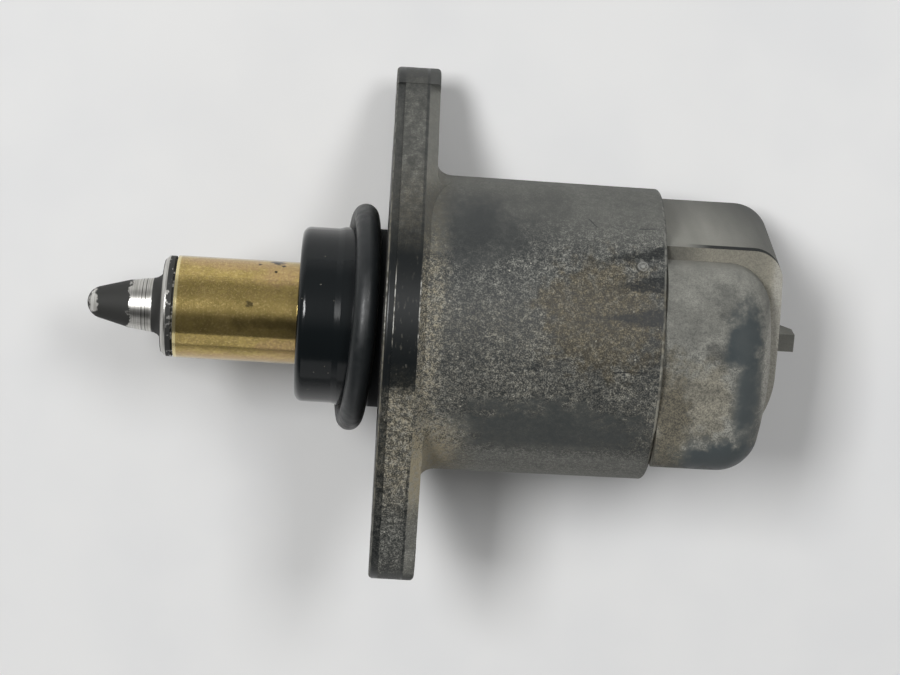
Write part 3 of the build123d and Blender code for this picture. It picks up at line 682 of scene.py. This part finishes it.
# %% Dress the housing
BLACK = (0.0165, 0.0190, 0.0205)
DEEP_BLACK = (0.0060, 0.0078, 0.0086)
WIPED_BLACK = (0.034, 0.0395, 0.0400)
BROWN_BLACK = (0.025, 0.022, 0.016)
PLASTIC_SPECULAR = 0.33
DULL = 0.8
GRAIN_DEPTH = 0.04

black = moulding.mix(moulding.most(smear, moulding.product(shoulder, 0.3)), BLACK, WIPED_BLACK)
black = moulding.mix(tan_zone, black, BROWN_BLACK)
black = moulding.mix(moulding.most(on_spigot, on_flange, fingers), black, DEEP_BLACK)
motes = moulding.product(on_spigot, moulding.specks(0.8, 0.09, 0.25), 0.5)
film = moulding.most(film, motes)
moulding.set("Base Color", moulding.mix(film, black, dust))
bare = moulding.blend(on_barrel, 0.30, 0.46)
handled = moulding.fade(x, -1.5, -1.0, 0.16, 0.75)
moulding.set("Roughness", moulding.blend(on_spigot, moulding.fade(film, 0.0, 0.3, bare, DULL), handled))
moulding.set("Specular IOR Level", PLASTIC_SPECULAR)
moulding.relief(moulding.product(grain, film), GRAIN_DEPTH)
moulding.dress("housing")

# %% [markdown]
# ### The mark of the gate
#
# The plastic entered the mould near the rim, where the solid has a small flat boss. The gate left a
# ring with a bead on it. A bump could fake them from the front, but would be flat from the side, so
# they are one turned profile, its foot sunk into the boss. It wears the finish of the housing.

# %% Set the gate mark
# Each corner of the profile: its distance from the middle, and its height over the boss.
GATE_PROFILE = (
    (0.0, 0.06), (0.18, 0.05), (0.28, 0.0), (0.38, 0.055), (0.50, 0.055), (0.58, -0.06), (0.0, -0.06),
)
GATE_STEPS = 48
WELD_M = 1e-6

ring = bmesh.new()
corners = [
    ring.verts.new((gate_place + Vector((reach, 0.0, 0.0)) + height * outwards) / MM_PER_M)
    for reach, height in GATE_PROFILE
]
sides = [ring.edges.new(pair) for pair in zip(corners, corners[1:])]
bmesh.ops.spin(
    ring, geom=corners + sides, cent=gate_place / MM_PER_M, axis=outwards, angle=tau, steps=GATE_STEPS
)
bmesh.ops.remove_doubles(ring, verts=ring.verts, dist=WELD_M)
bmesh.ops.recalc_face_normals(ring, faces=ring.faces)
gate_mesh = bpy.data.meshes.new("gate_mark")
ring.to_mesh(gate_mesh)
ring.free()
gate_mesh.materials.append(moulding.material)
gate_mark = bpy.data.objects.new("gate_mark", gate_mesh)
scene.collection.objects.link(gate_mark)
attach(gate_mark, "valve_body")
print("gate mark:", len(gate_mesh.polygons), "faces")

# %% [markdown]
# ## Rear cover
#
# The cover carries more dust than the barrel, because its back faces up in the engine bay. A thumb
# has left a dark clean patch near its right edge, tan grit fills the corner against the barrel and
# the ledge above the connector, and the lower edge is rubbed clean. Its wall is grey all over, so
# the normal tells the wall from the top; a second material with hard borders would show a seam.

# %% Wipe the cover
# Each faint mark: its centre, its radii, and how soft and how ragged its edge is.
FAINT_MARKS = (
    ((35.6, 8.0, 14.4), (1.6, 1.6, 2.0), 0.5, 0.3),
    ((35.2, 2.4, 14.6), (1.8, 0.8, 2.0), 0.6, 0.4),
)

cover = Finish("cover_black_plastic")
x, y, z = cover.x, cover.y, cover.z
facing_up = cover.fade(cover.facing()["Z"], 0.55, 0.8)
thumb = cover.most(
    cover.patch((38.0, 3.7, 14.2), (2.0, 3.9, 3.0), 0.40, 0.30),
    cover.product(cover.patch((38.7, -2.4, 13.6), (1.6, 6.4, 3.0), 0.55, 0.30), 0.95),
    cover.patch((36.6, -9.8, 13.8), (6.2, 2.2, 4.0), 0.45, 0.50),
)
faint = cover.patches(FAINT_MARKS)
tan_zone = cover.patch((34.2, -3.0, 14.6), (3.4, 4.2, 4.0), 0.4, 0.35)
tan_edge = cover.patch((30.8, -6.0, 13.6), (1.9, 7.0, 6.0), 0.45, 0.35)
cover.tell("its wiped places")

# %% [markdown]
# ### Dust on the cover
#
# Dust lies thickest on the wall beside the barrel and on the ledge around the connector head. It
# gets thinner to the right and towards the table, and has run down the wall in faint streaks. The
# crease above the ledge is painted shade: it lies in the shadow of an overhang, so it gets no dust
# and a deep black. Vertex colours could hold this too, but they belong to one mesh, and the mesh of a
# CAD solid changes with each pack. Ramps and fades over one axis don't.

# %% Lay the dust on the cover
# Each stop: a place along X, and the film there.
WALL_DUST = ((30.0, 0.80), (34.5, 0.76), (40.5, 0.36), (42.0, 0.40), (43.2, 0.62), (46.0, 0.62))
LEDGE_DUST = ((29.0, 0.22), (31.5, 0.34), (34.0, 0.62), (39.5, 0.60), (41.5, 0.85), (46.0, 0.85))

ledge = cover.product(facing_up, cover.fade(z, 10.2, 9.4), cover.fade(z, 6.0, 7.0))
# Painted shade: the crease above the ledge, which lies in the shadow of an overhang.
crease_shade = cover.product(
    cover.band(z, 7.6, 8.85, 0.10),
    cover.fade(x, 31.0, 34.5),
    cover.fade(y, 4.0, 8.0),
    cover.fade(ledge, 0.6, 0.3),
)
runs = cover.cloud(2.4, 2.0, 0.5, (1.0, 1.0, 0.15))
clouds = cover.blend(facing_up, runs, cover.cloud(3.0, 4.0, 0.65))
film = cover.blend(clouds, 0.50, 0.66)
film = cover.blend(cover.fade(z, 12.0, 6.0), film, cover.ramp(x, WALL_DUST))
film = cover.product(
    film,
    cover.fade(z, -14.0, 4.0, 0.45, 1.0),
    cover.blend(clouds, 0.90, 1.10),
    cover.blend(thumb, 1.0, 0.12),
    cover.blend(faint, 1.0, 0.62),
)
film = cover.blend(tan_edge, film, 0.30)
film = cover.blend(ledge, film, cover.ramp(x, LEDGE_DUST))
# In the painted shade of the crease the film drops almost to nothing.
film = cover.product(film, cover.blend(crease_shade, 1.0, 0.05))
head_side = cover.patch((41.0, 0.6, 11.4), (1.0, 6.0, 2.9), 0.35, 0.2)
head_side = cover.most(
    cover.product(head_side, cover.fade(z, 8.9, 9.3)),
    cover.product(ledge, cover.fade(x, 40.6, 41.6)),
)
film = cover.blend(head_side, film, 0.90)
cover.tell("its dust")

# %% [markdown]
# ### The finished cover
#
# The film breaks into the same grains as on the barrel, mostly in the tan corner and on the top, and
# less on the wall. The dust on the side of the connector head is dry and pale. A copy of the housing's
# graph would be quick, but its zones lie elsewhere, so only the colours and the grains are shared.

# %% Dress the cover
DRY_DUST = (0.39, 0.38, 0.34)
THUMB_BLACK = (0.043, 0.054, 0.059)

grain = dust_grains(cover)
gritty = cover.product(
    cover.fade(z, 9.0, 14.0, 0.1, 0.75),
    cover.fade(thumb, 0.9, 0.2, 0.15, 1.0),
    cover.fade(y, 1.0, 5.0, 1.0, 0.5),
)
gritty = cover.most(gritty, tan_edge, cover.product(ledge, 0.3))
film = cover.product(film, cover.blend(gritty, 1.0, cover.blend(grain, 0.30, 1.75)))
tan = cover.most(
    cover.product(tan_zone, 0.5),
    cover.product(tan_edge, 0.95),
    cover.product(ledge, 0.45),
    0.08,
)
dust = cover.mix(tan, GREY_DUST, TAN_DUST)
dust = cover.mix(cover.product(head_side, 0.8), dust, DRY_DUST)
specks = cover.product(cover.specks(0.9, 0.13, 0.25), cover.most(tan_edge, cover.product(gritty, 0.4)))
dust = cover.mix(cover.product(specks, 0.8), dust, PALE_SPECK)
film = cover.most(film, cover.product(specks, 0.75))
# The crease is painted deep black as shade.
black = cover.mix(crease_shade, cover.mix(thumb, BLACK, THUMB_BLACK), DEEP_BLACK)
cover.set("Base Color", cover.mix(film, black, dust))
cover.set("Roughness", cover.most(cover.fade(film, 0.0, 0.3, 0.38, DULL), crease_shade))
cover.set("Specular IOR Level", PLASTIC_SPECULAR)
cover.relief(cover.product(grain, film), GRAIN_DEPTH)
cover.dress("rear_cover")

# %% [markdown]
# ## Seals
#
# The thick O-ring on the spigot and the thin one under the cover are black rubber with a film of
# oil. A single black would look like a hole in the picture, so two near blacks are mixed by noise,
# and the roughness wanders too, so that the highlight along the ring isn't a clean line.

# %% Dress the seals
RUBBER = (0.0070, 0.0088, 0.0096)
GREY_RUBBER = (0.0150, 0.0176, 0.0186)
RUBBER_DEPTH = 0.004

rubber = Finish("seal_rubber")
rubber.set("Base Color", rubber.mix(rubber.noise(1.5, 3.0), RUBBER, GREY_RUBBER))
rubber.set("Roughness", rubber.cloud(0.8, 3.0, low=0.36, high=0.5))
rubber.relief(rubber.noise(0.2), RUBBER_DEPTH)
rubber.dress("spigot_seal", "cover_seal")

# %% [markdown]
# ## Brass plunger
#
# The plunger is turned brass that has gone dull in the intake: fine rings from the lathe, a greenish
# tarnish, pinkish copper stains near the ends and a few spots of tar. Tarnish is a thin dull coat
# over metal, so a little less than full metal with a middling roughness stands for both at once.
# Two marks are painted light: a narrow dark band along the top is a painted dark reflection, and
# the bright front edge is a painted highlight.

# %% Tarnish the brass and paint its dark band and bright edge
GOLD = (0.56, 0.425, 0.145)
DULL_GOLD = (0.43, 0.33, 0.105)
COPPER_PINK = (0.56, 0.37, 0.20)
BROWN_TARNISH = (0.34, 0.24, 0.10)
BRIGHT_GOLD = (0.76, 0.59, 0.27)
# Painted reflection: the dark colour of the band along the top, where the brass mirrors a dark ceiling.
PAINTED_DARK_REFLECTION = (0.16, 0.12, 0.045)
# Painted highlight: the bright colour of the front edge, where the chamfer mirrors the left lamp.
EDGE_HIGHLIGHT_GOLD = (0.82, 0.70, 0.38)
# Each stain: its centre, its radii, and how soft and how ragged its edge is.
PINK_STAINS = (
    ((-11.2, 5.0, 2.6), (2.8, 1.1, 2.2), 0.6, 0.5),
    ((-16.5, 5.5, 1.2), (6.5, 0.6, 1.6), 0.5, 0.4),
    ((-10.6, -2.6, 5.0), (2.6, 1.3, 2.0), 0.6, 0.5),
    ((-16.0, -4.6, 3.2), (8.0, 0.9, 1.6), 0.5, 0.4),
)

brass = Finish("turned_brass", metallic=0.88)
stain = brass.fade(brass.noise(2.2, 4.0, 0.6), 0.40, 0.68)
mottle = brass.fade(brass.noise(0.45, 4.0, 0.7), 0.32, 0.68)
bright = brass.fade(brass.noise(0.24, 3.0, 0.7), 0.50, 0.70)
pink = brass.product(brass.patches(PINK_STAINS), brass.fade(mottle, 0.0, 1.0, 0.45, 0.95))
shaded = brass.patch((-10.8, 0.1, 5.6), (4.6, 0.75, 1.0), 0.7, 0.5)
# Painted highlight along the front edge of the plunger.
edge_highlight = brass.fade(brass.x, -22.25, -22.4)
gold = brass.mix(stain, GOLD, DULL_GOLD)
gold = brass.mix(pink, gold, COPPER_PINK)
gold = brass.mix(brass.product(mottle, 0.6), gold, BROWN_TARNISH)
gold = brass.mix(brass.product(bright, 0.7), gold, BRIGHT_GOLD)
# Painted dark reflection: a narrow band along the top of the brass.
gold = brass.mix(brass.product(shaded, 0.65), gold, PAINTED_DARK_REFLECTION)
gold = brass.mix(edge_highlight, gold, EDGE_HIGHLIGHT_GOLD)
brass.tell("its tarnish")

# %% [markdown]
# ### Tar and turning
#
# Drops of tar from the intake have dried on the far side of the brass, and tiny ones all over it.
# They could be beads of their own, but they are thinner than a coat of paint, so they are colour.
# The rings from the lathe are noise squeezed along the axis, felt only as a faint relief.

# %% Spot the brass with tar
TAR = (0.030, 0.024, 0.018)
LATHE_STRETCH = (1.0, 0.02, 0.02)
LATHE_DEPTH = 0.006
# Each spot: its centre, its radii, how soft and how ragged its edge is, and the size of its teeth.
TAR_SPOTS = (
    ((-11.1, 5.48, 1.1), (0.22, 0.3, 0.22), 0.3, 0.3, 0.3),
    ((-11.9, 5.13, 2.25), (0.16, 0.2, 0.18), 0.3, 0.3, 0.3),
    ((-13.7, 5.52, 0.95), (0.18, 0.2, 0.18), 0.3, 0.3, 0.3),
    ((-11.8, 5.6, -0.1), (0.75, 0.5, 0.8), 0.3, 0.4, 0.5),
)

tar = brass.most(
    brass.patches(TAR_SPOTS),
    brass.product(brass.patch((-14.5, 2.14, 5.2), (0.38, 0.30, 0.3), 0.5, 0.5, 0.4), 0.7),
    brass.product(brass.specks(1.3, 0.12, 0.14), 0.8),
)
turning = brass.noise(0.12, 3.0, 0.6, LATHE_STRETCH)
brass.set("Base Color", brass.mix(tar, gold, TAR))
brass.set("Roughness", brass.blend(mottle, 0.12, 0.19))
brass.relief(brass.blend(0.5, turning, brass.noise(0.9, 3.0, 0.6)), LATHE_DEPTH)
brass.dress("plunger")

# %% [markdown]
# ## Pintle
#
# The pintle tip sits in hot, oily air, so soot covers the cone up to a ragged line, behind which a
# ring of turned steel was kept bright by the seat. The nose has lost a chip of soot. One mask over
# X holds all the zones; separate meshes for them would have steps that the real tip has not.

# %% Blacken the pintle
BRIGHT_STEEL = (0.66, 0.65, 0.62)
GREY_STEEL = (0.42, 0.41, 0.38)
CUT_STEEL = (0.12, 0.12, 0.11)
SOOT = (0.022, 0.022, 0.020)

pintle = Finish("pintle_steel")
x = pintle.x
ragged = pintle.math("ADD", x, pintle.fade(pintle.noise(0.9, 3.0, 0.6), 0.2, 0.8, -0.5, 0.5))
chip = pintle.patch((-31.66, 0.35, 1.0), (0.50, 1.3, 1.3), 0.25, 0.30, 0.7)
cone = pintle.product(pintle.fade(ragged, -27.6, -27.8), pintle.fade(chip, 1.0, 0.0))
neck = pintle.band(x, -25.25, -24.0, 0.05)
disc = pintle.product(pintle.band(x, -23.5, -22.7, 0.05), pintle.fade(pintle.noise(0.8, 3.0), 0.35, 0.45))
shank = pintle.fade(x, -22.8, -22.7)
soot = pintle.most(cone, neck, disc, shank)
turning = pintle.noise(0.1, 3.0, 0.6, LATHE_STRETCH)
cuts = pintle.most(pintle.band(x, -26.35, -26.27, 0.03), pintle.band(x, -25.95, -25.85, 0.03))
steel = pintle.mix(pintle.fade(turning, 0.35, 0.65), BRIGHT_STEEL, GREY_STEEL)
steel = pintle.mix(cuts, steel, CUT_STEEL)
pintle.set("Base Color", pintle.mix(soot, steel, SOOT))
pintle.set("Metallic", pintle.product(pintle.fade(soot, 0.9, 0.1), pintle.fade(chip, 0.0, 1.0, 1.0, 0.4)))
pintle.set("Roughness", pintle.blend(soot, 0.32, 0.7))
pintle.relief(turning, LATHE_DEPTH)
pintle.dress("pintle")

# %% [markdown]
# ## Inner metals
#
# Inside are a steel screw, plated cups and pole plates, a ground bearing, a bush of sintered bronze
# and tinned terminals. Most of them only show when the part is taken apart; the plated bushes of the
# bolt holes show from the front. They differ in tone and gloss alone, so one function makes them
# all, where a graph for each would say the same five times.

# %% Dress the inner metals
WEAR_ROUGHNESS = 0.12
METAL_DEPTH = 0.004


def inner_metal(name, light, dark, roughness):
    """A metal that is mottled from light to dark, and a little duller where it is dark."""
    finish = Finish(name, metallic=1.0)
    mottle = finish.cloud(0.9, 4.0, 0.6)
    finish.set("Base Color", finish.mix(mottle, light, dark))
    finish.set("Roughness", finish.blend(mottle, roughness, roughness + WEAR_ROUGHNESS))
    finish.relief(finish.noise(0.15, 3.0), METAL_DEPTH)
    return finish


inner_metal("screw_steel", (0.56, 0.55, 0.53), (0.42, 0.41, 0.39), 0.3).dress("lead_screw")
inner_metal("plated_steel", (0.62, 0.62, 0.60), (0.46, 0.46, 0.44), 0.32).dress(
    "flange_bushes", "screw_clip",
    "front_stator_cup", "front_pole_plate", "rear_pole_plate", "rear_stator_cup",
)
inner_metal("bearing_steel", (0.70, 0.70, 0.72), (0.60, 0.60, 0.62), 0.15).dress(
    "bearing_inner_race", "bearing_outer_race", "bearing_balls"
)
inner_metal("sintered_bronze", (0.50, 0.36, 0.22), (0.34, 0.24, 0.14), 0.45).dress("rear_bush")
inner_metal("tinned_brass", (0.74, 0.72, 0.66), (0.58, 0.55, 0.48), 0.28).dress(
    "terminal_1", "terminal_2", "terminal_3", "terminal_4"
)

# %% [markdown]
# ## Inner plastics
#
# Bobbins, bearing cage, rotor hub and thrust washer are moulded in undyed plastic, cream coloured and
# half matt. Light under its surface could be added with subsurface scattering, but that is slow, and
# at this size a mixture of two creams looks the same.

# %% Dress the inner plastics
CREAM = (0.76, 0.73, 0.65)
DARK_CREAM = (0.70, 0.66, 0.57)
PLASTIC_DEPTH = 0.004

natural = Finish("natural_plastic")
natural.set("Base Color", natural.mix(natural.noise(2.0, 3.0), CREAM, DARK_CREAM))
natural.set("Roughness", natural.cloud(0.6, low=0.4, high=0.55))
natural.relief(natural.noise(0.2), PLASTIC_DEPTH)
natural.dress("bearing_cage", "rotor_hub", "thrust_washer", "front_bobbin", "rear_bobbin")

# %% [markdown]
# ## Magnet
#
# The rotor's magnet is ferrite, a dark grey ceramic that is ground to size and slightly porous. It
# conducts nothing, so it isn't metallic to the shader either, however heavy it looks. Fine noise in
# colour, gloss and relief gives the grain of the ground surface.

# %% Dress the magnet
DARK_FERRITE = (0.09, 0.09, 0.10)
GREY_FERRITE = (0.15, 0.15, 0.155)
FERRITE_DEPTH = 0.006

ferrite = Finish("ferrite")
ferrite.set("Base Color", ferrite.mix(ferrite.noise(0.4, 4.0), DARK_FERRITE, GREY_FERRITE))
ferrite.set("Roughness", ferrite.cloud(0.5, low=0.45, high=0.65))
ferrite.relief(ferrite.noise(0.12, 3.0), FERRITE_DEPTH)
ferrite.dress("rotor_magnet")

# %% [markdown]
# ## Windings
#
# Each winding is hundreds of turns of enamelled copper wire, and one solid ring in the CAD model.
# The wire could be a helix of its own, but it is hidden and would outweigh all other meshes. Noise
# that is squeezed along the axis makes strands that run around the ring.

# %% Dress the windings
COPPER = (0.70, 0.34, 0.17)
DARK_COPPER = (0.42, 0.17, 0.08)
STRAND_STRETCH = (1.0, 0.01, 0.01)
STRAND_DEPTH = 0.06

winding = Finish("copper_winding", metallic=1.0)
strands = winding.noise(0.25, 0.0, 0.5, STRAND_STRETCH)
winding.set("Base Color", winding.mix(strands, COPPER, DARK_COPPER))
winding.set("Roughness", winding.fade(strands, NOISE_LOW, NOISE_HIGH, 0.25, 0.45))
winding.relief(strands, STRAND_DEPTH)
winding.dress("front_coil", "rear_coil")

# %% [markdown] ## Sizes The box of the bare solids is printed after loading, in metres. The only
# added piece, the gate mark, lies inside it.
